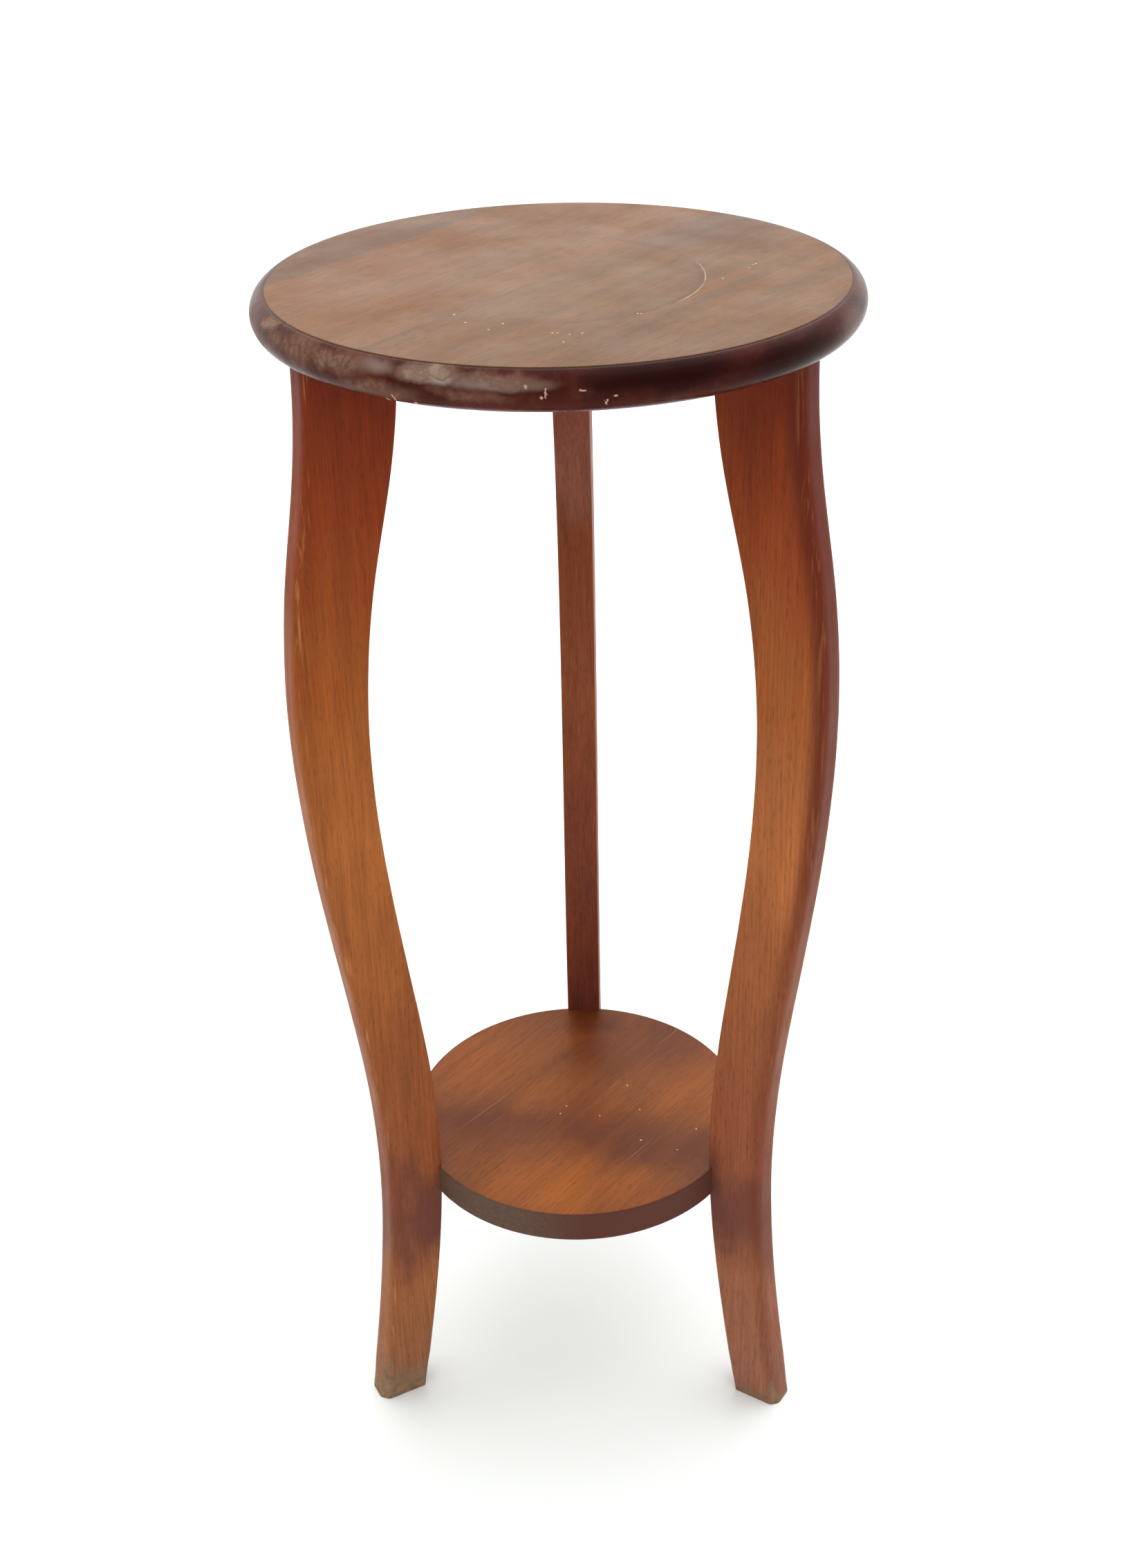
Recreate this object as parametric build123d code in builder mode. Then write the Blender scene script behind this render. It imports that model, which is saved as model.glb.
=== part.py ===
from build123d import *
import math
import os

# Three-legged pedestal stand in stained hardwood.  Millimetres, +Z up.
# The origin is on the floor, on the axis of the round top.

# ---- overall sizes ----
stand_height = 760.0
top_radius = 167.0
top_thickness = 22.0
shelf_radius = 110.8
shelf_thickness = 21.0
shelf_height = 189.5            # upper face of the shelf above the floor
leg_thickness = 23.0

# ---- round top: three boards glued edge to edge ----
edge_overhang = 8.2             # how far the rounded edge stands out past the flat faces
grain_angle = 55.0              # direction of the boards, from +X towards +Y
top_joints = (2.0, 118.0)       # glue lines, measured from the axis across the boards
shelf_joints = (-6.0,)

# ---- legs ----
leg_azimuths = {"back": 90.0, "left": 210.0, "right": 330.0}
foot_outer_radius = 163.3
foot_width = 32.8
waist_rise = 25.5               # the narrowest place is this far above the shelf
waist_width = 37.5
housing_depth = 2.7             # how far the shelf is let into the waist
belly_drop = 213.0              # the fullest place is this far below the head
belly_overhang = 8.4            # the belly stands out past the round top
belly_width = 42.5
rise_swell_inner = 2.6          # fullness half way between waist and belly
rise_swell_outer = 1.9
shoulder_drop = 128.0
shoulder_flare = 15.0           # how far the outer edge stands outside the head's
shoulder_width = 46.5
neck_drop = 68.0
neck_flare = 5.1
neck_width = 50.2
head_inset = 4.2                # from the top's lower flat face to the leg's outer edge
head_width = 52.8
foot_splay = 0.16               # slope of both edges of the leg at the floor
outer_edge_round = 6.0

# ---- dowels ----
dowel_radius = 4.0
dowel_clearance = 0.0           # glued, so the dowel fills its hole
dowel_end_gap = 1.0             # glue space at each end of a dowel
head_dowel_spacing = 26.0
head_dowel_in_leg = 26.0
head_dowel_in_top = 14.0
shelf_dowel_in_leg = 20.0
shelf_dowel_in_shelf = 22.0

# ---- places worked out from the sizes above ----
leg_length = stand_height - top_thickness
top_flat_radius = top_radius - edge_overhang
shelf_bottom = shelf_height - shelf_thickness
shelf_middle = shelf_height - shelf_thickness / 2
seat_radius = math.sqrt(shelf_radius**2 - (leg_thickness / 2) ** 2)
head_outer_radius = top_flat_radius - head_inset
head_middle_radius = head_outer_radius - head_width / 2
dowel_hole_radius = dowel_radius + dowel_clearance

waist_height = shelf_height + waist_rise
waist_inner_radius = seat_radius - housing_depth
waist_outer_radius = waist_inner_radius + waist_width
belly_height = leg_length - belly_drop
belly_outer_radius = top_radius + belly_overhang
belly_inner_radius = belly_outer_radius - belly_width
rise_height = (waist_height + belly_height) / 2
rise_inner_radius = (waist_inner_radius + belly_inner_radius) / 2 + rise_swell_inner
rise_outer_radius = (waist_outer_radius + belly_outer_radius) / 2 + rise_swell_outer
shoulder_height = leg_length - shoulder_drop
shoulder_outer_radius = head_outer_radius + shoulder_flare
neck_height = leg_length - neck_drop
neck_outer_radius = head_outer_radius + neck_flare

inner_outline = [
    (foot_outer_radius - foot_width, 0),
    (waist_inner_radius, waist_height),
    (rise_inner_radius, rise_height),
    (belly_inner_radius, belly_height),
    (shoulder_outer_radius - shoulder_width, shoulder_height),
    (neck_outer_radius - neck_width, neck_height),
    (head_outer_radius - head_width, leg_length),
]
outer_outline = [
    (foot_outer_radius, 0),
    (waist_outer_radius, waist_height),
    (rise_outer_radius, rise_height),
    (belly_outer_radius, belly_height),
    (shoulder_outer_radius, shoulder_height),
    (neck_outer_radius, neck_height),
    (head_outer_radius, leg_length),
]
outline_ends = [(-foot_splay, 1), (0, 1)]

os.makedirs("parts", exist_ok=True)


def radial_direction(azimuth):
    turn = math.radians(azimuth)
    return Vector(math.cos(turn), math.sin(turn), 0)


def upright_plane(azimuth):
    """Plane through the axis: its x runs outwards at this azimuth, its y runs up."""
    outwards = radial_direction(azimuth)
    return Plane(origin=(0, 0, 0), x_dir=outwards, z_dir=outwards.cross(Vector(0, 0, 1)))


def shelf_dowel_plane(azimuth):
    """Plane square to a leg, on the seat where the shelf's rim meets the leg."""
    outwards = radial_direction(azimuth)
    seat_point = outwards * seat_radius + Vector(0, 0, shelf_middle)
    return Plane(origin=seat_point, x_dir=(0, 0, 1), z_dir=outwards)


def glue_plane(distance):
    """Upright plane along the grain, this far from the axis."""
    across = radial_direction(grain_angle + 90)
    return Plane(origin=across * distance, z_dir=across)


def head_dowel_points(azimuth):
    """The two dowel positions in one leg's head, seen from above."""
    outwards = radial_direction(azimuth)
    half = head_dowel_spacing / 2
    return [outwards * (head_middle_radius + side * half) for side in (-1, 1)]


def board_limits(joints, reach):
    """Both edges of each board, from one side of the disc to the other."""
    edges = [-reach, *sorted(joints), reach]
    return list(zip(edges[:-1], edges[1:]))


# ---- boards of the round top ----
for number, (near, far) in enumerate(board_limits(top_joints, top_radius + 1), start=1):
    with BuildPart() as top_board:
        with BuildSketch(Plane.XZ) as top_section:
            with BuildLine():
                lower = Line((0, leg_length), (top_flat_radius, leg_length))
                rounded = ThreePointArc(
                    lower @ 1,
                    (top_radius, leg_length + top_thickness / 2),
                    (top_flat_radius, stand_height),
                )
                Polyline(rounded @ 1, (0, stand_height), (0, leg_length))
            make_face()
        revolve(axis=Axis.Z)
        # only the stretch between this board's two glue lines is kept
        split(bisect_by=glue_plane(near), keep=Keep.TOP)
        split(bisect_by=glue_plane(far), keep=Keep.BOTTOM)
        # dowel holes from below, for whichever legs stand under this board
        with BuildSketch(Plane.XY.offset(leg_length)):
            for azimuth in leg_azimuths.values():
                with Locations(*head_dowel_points(azimuth)):
                    Circle(dowel_hole_radius)
        extrude(amount=head_dowel_in_top + dowel_end_gap, mode=Mode.SUBTRACT)
    top_board.part.label = f"top_board_{number}"
    export_step(top_board.part, f"parts/top_board_{number}.step")

# ---- boards of the shelf ----
for number, (near, far) in enumerate(board_limits(shelf_joints, shelf_radius + 1), start=1):
    with BuildPart() as shelf_board:
        with BuildSketch(Plane.XY.offset(shelf_bottom)):
            Circle(shelf_radius)
        extrude(amount=shelf_thickness)
        # a flat is planed on the rim for each leg
        for azimuth in leg_azimuths.values():
            seat = shelf_dowel_plane(azimuth)
            split(bisect_by=seat, keep=Keep.BOTTOM)
        split(bisect_by=glue_plane(near), keep=Keep.TOP)
        split(bisect_by=glue_plane(far), keep=Keep.BOTTOM)
        for azimuth in leg_azimuths.values():
            with BuildSketch(shelf_dowel_plane(azimuth)):
                Circle(dowel_hole_radius)
            extrude(amount=-(shelf_dowel_in_shelf + dowel_end_gap), mode=Mode.SUBTRACT)
    shelf_board.part.label = f"shelf_board_{number}"
    export_step(shelf_board.part, f"parts/shelf_board_{number}.step")

# ---- legs ----
for name, azimuth in leg_azimuths.items():
    with BuildPart() as leg:
        with BuildSketch(upright_plane(azimuth)):
            with BuildLine():
                inner = Spline(*inner_outline, tangents=outline_ends)
                outer = Spline(*outer_outline, tangents=outline_ends)
                Line(inner @ 0, outer @ 0)
                Line(inner @ 1, outer @ 1)
            make_face()
        extrude(amount=leg_thickness / 2, both=True)
        # the two long corners of the outer edge are rounded
        curved = leg.faces().filter_by(GeomType.PLANE, reverse=True)
        outer_face = curved.sort_by(Axis((0, 0, 0), radial_direction(azimuth)))[-1]
        long_corners = outer_face.edges().filter_by(lambda edge: edge.length > leg_length / 2)
        fillet(long_corners, radius=outer_edge_round)
        # shallow housing for the shelf
        with BuildSketch(upright_plane(azimuth)):
            with BuildLine():
                Polyline(
                    (0, shelf_bottom),
                    (seat_radius, shelf_bottom),
                    (seat_radius, shelf_height),
                    (0, shelf_height),
                    close=True,
                )
            make_face()
        extrude(amount=leg_thickness, both=True, mode=Mode.SUBTRACT)
        with BuildSketch(shelf_dowel_plane(azimuth)):
            Circle(dowel_hole_radius)
        extrude(amount=shelf_dowel_in_leg + dowel_end_gap, mode=Mode.SUBTRACT)
        with BuildSketch(Plane.XY.offset(leg_length)):
            with Locations(*head_dowel_points(azimuth)):
                Circle(dowel_hole_radius)
        extrude(amount=-(head_dowel_in_leg + dowel_end_gap), mode=Mode.SUBTRACT)
    leg.part.label = f"{name}_leg"
    export_step(leg.part, f"parts/{name}_leg.step")

# ---- dowels: two up into the top and one across into the shelf for each leg ----
for name, azimuth in leg_azimuths.items():
    for place, point in zip(("inner", "outer"), head_dowel_points(azimuth)):
        with BuildPart() as head_dowel:
            with BuildSketch(Plane(origin=point + Vector(0, 0, leg_length - head_dowel_in_leg))):
                Circle(dowel_radius)
            extrude(amount=head_dowel_in_leg + head_dowel_in_top)
        head_dowel.part.label = f"{name}_{place}_top_dowel"
        export_step(head_dowel.part, f"parts/{name}_{place}_top_dowel.step")

    with BuildPart() as shelf_dowel:
        with BuildSketch(shelf_dowel_plane(azimuth).offset(-shelf_dowel_in_shelf)):
            Circle(dowel_radius)
        extrude(amount=shelf_dowel_in_shelf + shelf_dowel_in_leg)
    shelf_dowel.part.label = f"{name}_shelf_dowel"
    export_step(shelf_dowel.part, f"parts/{name}_shelf_dowel.step")

print("stand height", stand_height, "mm, leg length", leg_length, "mm")
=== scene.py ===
import bpy
import bmesh
import math
from mathutils import Matrix, Vector


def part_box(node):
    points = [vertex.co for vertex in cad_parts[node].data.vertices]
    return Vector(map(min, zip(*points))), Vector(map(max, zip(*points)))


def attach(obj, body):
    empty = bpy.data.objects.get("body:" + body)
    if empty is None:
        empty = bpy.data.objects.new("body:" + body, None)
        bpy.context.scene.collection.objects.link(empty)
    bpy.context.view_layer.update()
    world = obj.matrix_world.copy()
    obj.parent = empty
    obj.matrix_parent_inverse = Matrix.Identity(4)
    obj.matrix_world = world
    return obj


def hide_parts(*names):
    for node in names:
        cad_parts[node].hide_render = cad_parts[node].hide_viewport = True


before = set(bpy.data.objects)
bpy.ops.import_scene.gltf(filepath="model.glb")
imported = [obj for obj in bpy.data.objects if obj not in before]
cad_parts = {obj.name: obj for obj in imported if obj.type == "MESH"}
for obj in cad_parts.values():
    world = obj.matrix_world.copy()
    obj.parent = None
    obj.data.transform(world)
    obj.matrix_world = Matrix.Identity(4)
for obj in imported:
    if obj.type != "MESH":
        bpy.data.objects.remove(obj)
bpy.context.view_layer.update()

# Pedestal plant stand: round moulded top, three sawn legs, small round shelf.
# Metres, the frame's own axes: +Z up, back leg on +Y, origin on the floor.

mm = 0.001


def linearColour(hexCode):
    # sRGB hex to linear RGBA
    channels = [int(hexCode[i:i + 2], 16) / 255 for i in (1, 3, 5)]
    linear = [c / 12.92 if c <= 0.04045 else ((c + 0.055) / 1.055) ** 2.4 for c in channels]
    return (*linear, 1.0)


def nodeAdder(tree):
    # gives the function that adds one node to this tree: kind and operation in one string, inputs in
    # order or by name, each a constant, a hex colour, a node or a socket, and settings as keywords
    def add(kind, *inputs, **settings):
        name, _, operation = kind.partition(" ")
        if not name.startswith(("GeometryNode", "NodeGroup")):
            name = "ShaderNode" + name
        node = tree.nodes.new(name)
        if operation:
            node.operation = operation
        for setting, value in settings.items():
            setattr(node, setting, value)
        if len(inputs) == 1 and isinstance(inputs[0], dict):
            pairs = [(node.inputs[key], value) for key, value in inputs[0].items()]
        else:
            pairs = list(zip([socket for socket in node.inputs if socket.enabled], inputs))
        for socket, value in pairs:
            if isinstance(value, str) and value.startswith("#"):
                value = linearColour(value)
            if isinstance(value, bpy.types.Node):
                value = next(out for out in value.outputs if out.enabled)
            if isinstance(value, bpy.types.NodeSocket):
                tree.links.new(value, socket)
            else:
                socket.default_value = value
        return node

    return add


def cells(size):
    # scale of a noise whose cells are about this many millimetres across
    return 1000 / size


smooth = {"interpolation_type": "SMOOTHSTEP"}    # a map range with soft ends
coloured = {"data_type": "RGBA"}                 # a mix of two colours


def linkObject(name, data):
    obj = bpy.data.objects.new(name, data)
    bpy.context.scene.collection.objects.link(obj)
    return obj


def removeObject(obj):
    data = obj.data
    bpy.data.objects.remove(obj)
    if isinstance(data, bpy.types.Mesh):
        bpy.data.meshes.remove(data)


def pointRow(name, points):
    # loose vertices in order, read by index in a node tree
    mesh = bpy.data.meshes.new(name)
    mesh.from_pydata([tuple(p) for p in points], [], [])
    return linkObject(name, mesh)


def startTree(name, sockets):
    # a geometry node tree with these inputs, listed by kind, and one mesh out
    tree = bpy.data.node_groups.new(name, "GeometryNodeTree")
    for kind, labels in sockets.items():
        for label in labels:
            tree.interface.new_socket(label, in_out="INPUT", socket_type="NodeSocket" + kind)
    tree.interface.new_socket("Geometry", in_out="OUTPUT", socket_type="NodeSocketGeometry")
    add = nodeAdder(tree)
    return tree, add, add("NodeGroupInput").outputs


def sampleRow(tree, add, rowObject, row):
    # place of the point with this number in a row of loose points
    info = add("GeometryNodeObjectInfo", {"Object": rowObject})
    sample = add("GeometryNodeSampleIndex", {"Geometry": info.outputs["Geometry"], "Index": row},
                 data_type="FLOAT_VECTOR", domain="POINT")
    tree.links.new(add("GeometryNodeInputPosition").outputs[0], sample.inputs["Value"])
    return sample


def finishTree(add, mesh, material):
    # real mesh with its material, as the tree's result
    real = add("GeometryNodeRealizeInstances", {"Geometry": mesh})
    add("NodeGroupOutput",
        {"Geometry": add("GeometryNodeSetMaterial", {"Geometry": real, "Material": material})})


def growMesh(name, tree, inputs):
    # runs a node tree on an empty mesh and keeps the result as a plain mesh object
    carrier = linkObject(name + "Carrier", bpy.data.meshes.new(name + "Carrier"))
    modifier = carrier.modifiers.new("grow", "NODES")
    modifier.node_group = tree
    for item in tree.interface.items_tree:
        if item.item_type == "SOCKET" and item.in_out == "INPUT" and item.name in inputs:
            modifier[item.identifier] = inputs[item.name]
    depsgraph = bpy.context.evaluated_depsgraph_get()
    mesh = bpy.data.meshes.new_from_object(carrier.evaluated_get(depsgraph), depsgraph=depsgraph)
    mesh.name = name
    removeObject(carrier)
    return linkObject(name, mesh)


def curveThrough(stations, startSlope, endSlope, count):
    # C2 cubic through the stations, parameter by chord length, end directions given
    points = [Vector((r, 0.0, z)) for r, z in stations]
    spans = [(b - a).length for a, b in zip(points[:-1], points[1:])]
    last = len(points) - 1
    tangents = [Vector((-startSlope, 0, 1)).normalized()] + [None] * (last - 1)
    tangents.append(Vector((endSlope, 0, 1)).normalized())
    # Thomas sweep over the inner tangents
    lower, held = [0.0] * (last + 1), [tangents[0]] + [None] * last
    for i in range(1, last):
        before, after = spans[i - 1], spans[i]
        ahead, behind = points[i + 1] - points[i], points[i] - points[i - 1]
        right = 3 * (ahead * before / after + behind * after / before)
        pivot = 2 * (before + after) - after * lower[i - 1]
        lower[i] = before / pivot
        held[i] = (right - held[i - 1] * after) / pivot
    for i in range(last - 1, 0, -1):
        tangents[i] = held[i] - tangents[i + 1] * lower[i]
    total = sum(spans)
    out = []
    for step in range(count):
        along = total * step / (count - 1)
        i = 0
        while i < last - 1 and along > spans[i]:
            along -= spans[i]
            i += 1
        h, t = spans[i], min(along / spans[i], 1.0)
        out.append(
            points[i] * (2 * t**3 - 3 * t**2 + 1) + tangents[i] * (h * (t**3 - 2 * t**2 + t))
            + points[i + 1] * (3 * t**2 - 2 * t**3) + tangents[i + 1] * (h * (t**3 - t**2))
        )
    return out


topLow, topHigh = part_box("top_board_1")
shelfLow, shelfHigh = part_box("shelf_board_1")
legLow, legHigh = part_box("back_leg")

legAzimuths = {"back": 90.0, "left": 210.0, "right": 330.0}
legThickness = legHigh.x - legLow.x
topRadius = min(-topLow.y, topHigh.x) - 0.02 * mm       # a hair inside the frame's box
shelfCorners = [corner for name in ("shelf_board_1", "shelf_board_2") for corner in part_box(name)]
shelfRadius = max(abs(c) for corner in shelfCorners for c in corner.xy)
seatRadius = math.sqrt(shelfRadius**2 - (legThickness / 2) ** 2)     # of the flats where legs meet shelf
boardDirection = math.radians(55.0)                     # the boards of top and shelf run this way
acrossBoards = Vector((-math.sin(boardDirection), math.cos(boardDirection), 0.0))
print("frame read: stand height", round(topHigh.z, 4), "m")


viewValues = {
    "lens": 45.85,            # millimetres
    "sensor": 36.0,           # its long side
    "distance": 1.0745,       # from the stand's axis, level
    "height": 1.0588,
    "turn": 2.95,             # degrees to the right of the plane of the back leg
    "downTilt": 29.86,
    "roll": -1.42,
}


def makeCamera(v):
    data = bpy.data.cameras.new("camera")
    data.lens = v["lens"]
    data.sensor_width = v["sensor"]
    data.sensor_fit = "AUTO"
    data.clip_start, data.clip_end = 0.05, 100.0
    camera = linkObject("camera", data)
    turn, tilt, roll = (math.radians(v[k]) for k in ("turn", "downTilt", "roll"))
    level = Vector((-math.sin(turn), math.cos(turn), 0.0))
    forward = level * math.cos(tilt) - Vector((0, 0, math.sin(tilt)))
    right = level.cross(Vector((0, 0, 1)))
    up = right.cross(forward)
    tiltedRight = right * math.cos(roll) + up * math.sin(roll)
    tiltedUp = up * math.cos(roll) - right * math.sin(roll)
    place = level * -v["distance"] + Vector((0, 0, v["height"]))
    axes = Matrix((tiltedRight, tiltedUp, -forward)).transposed()
    camera.matrix_world = Matrix.Translation(place) @ axes.to_4x4()
    bpy.context.scene.camera = camera


makeCamera(viewValues)
print("camera set")


legValues = {
    # edges of the plank: distance from the axis and height above the floor, in millimetres
    "inner": [(130.5, 0), (107.3, 215), (122.6, 370), (132.9, 525), (123.1, 610), (109.4, 670),
              (101.8, 738)],
    "outer": [(163.3, 0), (144.8, 215), (162.0, 370), (175.4, 525), (169.6, 610), (159.7, 670),
              (154.6, 738)],
    "footSlope": 0.16,        # of both edges at the floor
    "outerRound": 6.0,        # corner rounds
    "innerRound": 1.1,
    "unevenness": 0.7,        # how far the hand-finished edges wander
    "footWear": 1.6,          # how deep the foot's corners are knocked
    "rows": 300,
    "housingReach": 20.0,     # the cut for the shelf starts this far inside its rim
    "creaseAngle": 50.0,      # degrees; sharper edges than this stay crisp
}


def legTree():
    # a block with closer columns at its corners, bent to the plank's two edges row by row
    tree, add, given = startTree("sawnLeg", {
        "Object": ("Inner Outline", "Outer Outline"), "Int": ("Rows",), "Material": ("Material",),
        "Float": ("Thickness", "Outer Round", "Inner Round", "Azimuth", "Unevenness", "Foot Wear", "Seed")})
    block = add("GeometryNodeMeshCube",
                {"Size": (1, 1, 1), "Vertices X": 19, "Vertices Y": 13, "Vertices Z": given["Rows"]})
    here = add("GeometryNodeInputPosition")
    place = add("SeparateXYZ", here).outputs
    halfTurnX = add("Math MULTIPLY", add("Math ADD", place[0], 0.5), math.pi)
    halfTurnY = add("Math MULTIPLY", add("Math ADD", place[1], 0.5), math.pi)
    spreadX = add("Math MULTIPLY_ADD", add("Math COSINE", halfTurnX), -0.5, 0.5)
    spreadY = add("Math MULTIPLY", add("Math COSINE", halfTurnY), -0.5)
    up = add("Math ADD", place[2], 0.5)
    row = add("Math ROUND", add("Math MULTIPLY", up, add("Math SUBTRACT", given["Rows"], 1.0)))

    inner, outer = (add("SeparateXYZ", sampleRow(tree, add, given[edge + " Outline"], row)).outputs
                    for edge in ("Inner", "Outer"))
    width = add("Math SUBTRACT", outer[0], inner[0])
    across = add("Math MULTIPLY", spreadX, width)
    side = add("Math MULTIPLY", spreadY, given["Thickness"])
    outside = add("Math GREATER_THAN", spreadX, 0.5)
    corner = add("Math MULTIPLY_ADD", outside,
                 add("Math SUBTRACT", given["Outer Round"], given["Inner Round"]), given["Inner Round"])
    widthLess = add("Math SUBTRACT", width, given["Outer Round"])
    coreAcross = add("Math MINIMUM", add("Math MAXIMUM", across, given["Inner Round"]), widthLess)
    halfCore = add("Math SUBTRACT", add("Math MULTIPLY", given["Thickness"], 0.5), corner)
    coreSide = add("Math MINIMUM", add("Math MAXIMUM", side, add("Math MULTIPLY", halfCore, -1.0)), halfCore)
    # what lies past the core is bent onto the corner's round
    pastAcross, pastSide = add("Math SUBTRACT", across, coreAcross), add("Math SUBTRACT", side, coreSide)
    absAcross, absSide = add("Math ABSOLUTE", pastAcross), add("Math ABSOLUTE", pastSide)
    longest = add("Math MAXIMUM", absAcross, absSide)
    squares = add("Math ADD", add("Math MULTIPLY", pastAcross, pastAcross),
                  add("Math MULTIPLY", pastSide, pastSide))
    bend = add("Math DIVIDE", longest, add("Math MAXIMUM", add("Math SQRT", squares), 1e-7))
    radial = add("Math MULTIPLY_ADD", pastAcross, bend, coreAcross)
    sideways = add("Math MULTIPLY_ADD", pastSide, bend, coreSide)
    share = add("Math DIVIDE", radial, width)
    rise = add("Math MULTIPLY_ADD", share, add("Math SUBTRACT", outer[2], inner[2]), inner[2])
    # hand-finished edges wander inwards a little, less near both ends
    spot = add("CombineXYZ", add("Math MULTIPLY", outside, 3.0), 0.0, rise)
    wander = add("TexNoise", {"Vector": spot, "W": given["Seed"], "Scale": cells(62.5), "Detail": 2.0},
                 noise_dimensions="4D")
    belly = add("Math MULTIPLY", add("Math MULTIPLY", up, add("Math SUBTRACT", 1.0, up)), 4.0)
    drift = add("Math MULTIPLY",
                add("Math MULTIPLY", add("Math SUBTRACT", wander, 0.8), given["Unevenness"]), belly)
    outward = add("Math MULTIPLY", drift, add("Math MULTIPLY_ADD", share, 2.0, -1.0))
    # the foot's outer corners are knocked off where the stand was dragged
    low = add("MapRange", rise, 0.0, 0.035, 1.0, 0.0, **smooth)
    cornerShare = add("Math DIVIDE", add("Math MINIMUM", absAcross, absSide),
                      add("Math MAXIMUM", longest, 1e-7))
    spot3 = add("CombineXYZ", radial, sideways, rise)
    knock = add("TexNoise", {"Vector": spot3, "W": given["Seed"], "Scale": cells(8.3333), "Detail": 3.0},
                noise_dimensions="4D")
    bite = add("Math MULTIPLY", add("Math MULTIPLY", low, knock),
               add("Math MULTIPLY", given["Foot Wear"], add("Math ADD", cornerShare, 0.25)))
    shrink = add("Math SUBTRACT", 1.0,
                 add("Math DIVIDE", bite, add("Math MULTIPLY", given["Thickness"], 0.5)))
    bitten = add("Math SUBTRACT", radial,
                 add("Math MULTIPLY", bite, add("Math MULTIPLY_ADD", share, 2.0, -1.0)))
    newPlace = add("CombineXYZ", add("Math ADD", add("Math ADD", bitten, inner[0]), outward),
                   add("Math MULTIPLY", sideways, shrink), rise)
    turned = add("VectorRotate", {"Vector": newPlace, "Angle": given["Azimuth"]}, rotation_type="Z_AXIS")
    # how far round a corner the surface is, and how far out across the leg, kept before anything moves
    marked = block.outputs["Mesh"]
    for attribute, value in (("corner", cornerShare), ("across", share)):
        marked = add("GeometryNodeStoreNamedAttribute",
                     {"Geometry": marked, "Name": attribute, "Value": value},
                     data_type="FLOAT", domain="POINT")
    shaped = add("GeometryNodeSetPosition", {"Geometry": marked, "Position": turned})
    finishTree(add, add("GeometryNodeMergeByDistance", {"Geometry": shaped, "Distance": 0.01 * mm}),
               given["Material"])
    return tree


def cutAway(piece, cutters):
    # exact boolean, kept as plain mesh
    for cutter in cutters:
        modifier = piece.modifiers.new("cut", "BOOLEAN")
        modifier.object = cutter
        modifier.operation = "DIFFERENCE"
        modifier.solver = "EXACT"
    depsgraph = bpy.context.evaluated_depsgraph_get()
    mesh = bpy.data.meshes.new_from_object(piece.evaluated_get(depsgraph), depsgraph=depsgraph)
    piece.modifiers.clear()
    old = piece.data
    piece.data = mesh
    bpy.data.meshes.remove(old)
    mesh.name = piece.name
    for cutter in cutters:
        removeObject(cutter)


def boxCutter(low, high, azimuth):
    solid = bmesh.new()
    bmesh.ops.create_cube(solid, size=1.0)
    for v in solid.verts:
        v.co = Vector((low[i] + (v.co[i] + 0.5) * (high[i] - low[i]) for i in range(3)))
    bmesh.ops.rotate(solid, verts=solid.verts, matrix=Matrix.Rotation(azimuth, 3, "Z"))
    mesh = bpy.data.meshes.new("boxCutter")
    solid.to_mesh(mesh)
    solid.free()
    return linkObject("boxCutter", mesh)


def sharpenFlats(piece, angle):
    # smooth shading that breaks where two faces meet at more than this angle
    mesh = piece.data
    solid = bmesh.new()
    solid.from_mesh(mesh)
    for edge in solid.edges:
        edge.smooth = len(edge.link_faces) == 2 and edge.calc_face_angle(0.0) < angle
    for face in solid.faces:
        face.smooth = True
    solid.to_mesh(mesh)
    solid.free()


def makeLegs(v, materials):
    inner = pointRow("innerOutline",
                     [p * mm for p in curveThrough(v["inner"], v["footSlope"], 0.0, v["rows"])])
    outer = pointRow("outerOutline",
                     [p * mm for p in curveThrough(v["outer"], v["footSlope"], 0.0, v["rows"])])
    tree = legTree()
    for number, (name, azimuth) in enumerate(legAzimuths.items()):
        turn = math.radians(azimuth)
        leg = growMesh(name + "LegWood", tree, {
            "Inner Outline": inner, "Outer Outline": outer, "Thickness": legThickness,
            "Outer Round": v["outerRound"] * mm, "Inner Round": v["innerRound"] * mm, "Azimuth": turn,
            "Rows": v["rows"], "Unevenness": v["unevenness"] * mm, "Foot Wear": v["footWear"] * mm,
            "Seed": 3.1 + 5.7 * number, "Material": materials[name]})
        housing = boxCutter((seatRadius - v["housingReach"] * mm, -legThickness, shelfLow.z),
                            (seatRadius, legThickness, shelfHigh.z), turn)
        cutAway(leg, [housing])
        sharpenFlats(leg, math.radians(v["creaseAngle"]))
        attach(leg, "root")
        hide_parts(name + "_leg")
    removeObject(inner)
    removeObject(outer)


topValues = {
    "edgeOverhang": 8.2,      # how far the rounded edge stands past the flat
    "step": 0.45,             # the little quirk where the flat meets the moulding
    "joints": (2.0, 118.0),   # glue lines across the boards, from the axis
    "segments": 900,
    "arcSteps": 26,
    "flatRings": 14,
    "wear": 0.55,             # depth of the deepest knocks
    "edgeStart": 8.4,         # knocks and lacquer begin this far inside the rim
}
shelfValues = {
    "arris": 0.9,             # round of the rim's two edges
    "joints": (-6.0,),
    "segments": 640,
    "rimSteps": 16,
    "flatRings": 10,
    "wear": 0.18,
    "edgeStart": 0.4,
}
wornSide = 228.0              # azimuth that both discs are knocked most on, in degrees
discCreaseAngle = 35.0


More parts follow.
